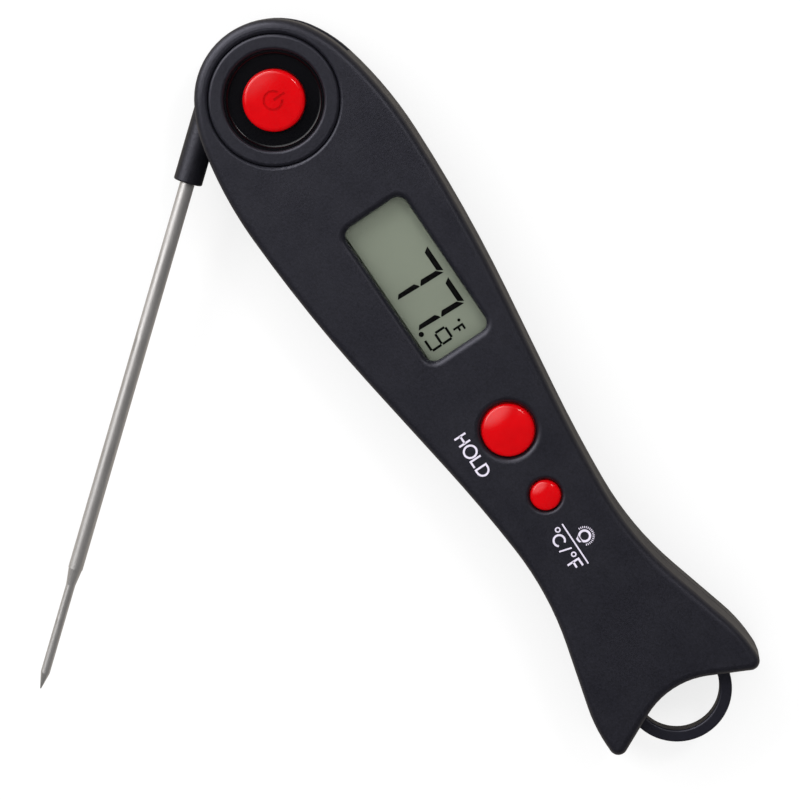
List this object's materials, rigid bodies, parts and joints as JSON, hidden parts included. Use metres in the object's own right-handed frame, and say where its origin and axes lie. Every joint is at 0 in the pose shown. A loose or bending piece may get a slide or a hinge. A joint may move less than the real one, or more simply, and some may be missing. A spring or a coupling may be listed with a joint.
{
  "type": "folding food thermometer",
  "caption": "Folding instant-read meat thermometer with a fish-shaped case, a steel probe that swings from a side slot, a display, push buttons and a hanging loop.",
  "frame": {"origin": "on the flat back of the case, under the axis the probe turns about", "axes": "+X from the pivot to the tail along the case, +Z out of the front face with the display, +Y to the side away from the probe slot"},
  "size_m": [0.1719, 0.1292, 0.018],
  "materials": {
    "case_black": "fine spark-eroded texture, charcoal black ABS",
    "cap_black": "the same texture as the case",
    "dish_black": "polished black",
    "button_red": "polished red, slightly crowned",
    "hub_black": "black glass-filled nylon, faint mould grain",
    "probe_steel": "drawn stainless steel tube, satin, polished at the point",
    "window_clear": "clear hard-coated lens",
    "lcd_glass": "grey-green reflective display glass",
    "holder_white": "moulded white frame",
    "guide_clear": "milky light guide",
    "zebra_rubber": "striped conductive rubber",
    "board_green": "green solder mask on glass fibre",
    "epoxy_black": "epoxy drop over the bare chip",
    "led_white": "white side-firing lamp",
    "component_grey": "mixed small soldered parts",
    "switch_black": "moulded switch body",
    "plunger_white": "moulded switch plunger",
    "cell_steel": "nickel plated steel can",
    "spring_brass": "nickel plated spring brass",
    "magnet_nickel": "nickel plated neodymium disc",
    "screw_steel": "black oxide steel",
    "loop_black": "black nylon, semi matte",
    "seal_rubber": "black silicone",
    "door_black": "the same texture as the case",
    "washer_steel": "spring steel",
    "bead_glass": "amber glass bead",
    "wire_red": "thin insulated wire"
  },
  "bodies": {
    "case": {"front_shell": "case_black", "rear_shell": "case_black", "hang_loop": "loop_black", "pivot_cap": "cap_black", "button_dish": "dish_black", "lcd_window": "window_clear", "lcd_panel": "lcd_glass", "lcd_holder": "holder_white", "zebra_strips": "zebra_rubber", "backlight_guide": "guide_clear", "backlight_led": "led_white", "main_board": "board_green", "chip_cover": "epoxy_black", "board_components": "component_grey", "power_board": "board_green", "power_switch": "switch_black", "hold_switch": "switch_black", "light_switch": "switch_black", "board_screws": "screw_steel", "coin_cell": "cell_steel", "battery_spring": "spring_brass", "battery_clip": "spring_brass", "rear_magnet": "magnet_nickel", "case_screws": "screw_steel", "sensor_leads": "wire_red", "switch_leads": "wire_red", "friction_washer": "washer_steel"},
    "probe": {"probe_hub": "hub_black", "probe_tube": "probe_steel", "probe_tip": "probe_steel", "temperature_bead": "bead_glass", "probe_leads": "wire_red", "pivot_seals": "seal_rubber"},
    "power_key": {"power_button": "button_red", "power_plunger": "plunger_white"},
    "hold_key": {"hold_button": "button_red", "hold_plunger": "plunger_white"},
    "light_key": {"light_button": "button_red", "light_plunger": "plunger_white"},
    "battery_cover": {"battery_door": "door_black", "battery_door_seal": "seal_rubber"}
  },
  "joints": [
    {"name": "probe_fold", "type": "hinge", "parent": "case", "child": "probe", "pos_m": [0, 0, 0.0085], "axis": [0, 0, -1], "range_deg": [-51, 129]},
    {"name": "power_press", "type": "slide", "parent": "case", "child": "power_key", "axis": [0, 0, -1], "range_m": [0, 0.0005], "stiffness_N_per_m": 4000},
    {"name": "hold_press", "type": "slide", "parent": "case", "child": "hold_key", "axis": [0, 0, -1], "range_m": [0, 0.0005], "stiffness_N_per_m": 4000},
    {"name": "light_press", "type": "slide", "parent": "case", "child": "light_key", "axis": [0, 0, -1], "range_m": [0, 0.0005], "stiffness_N_per_m": 4000},
    {"name": "battery_door_twist", "type": "hinge", "parent": "case", "child": "battery_cover", "pos_m": [0.046, 0.003, 0.0015], "axis": [0, 0, 1], "range_deg": [0, 40]}
  ]
}
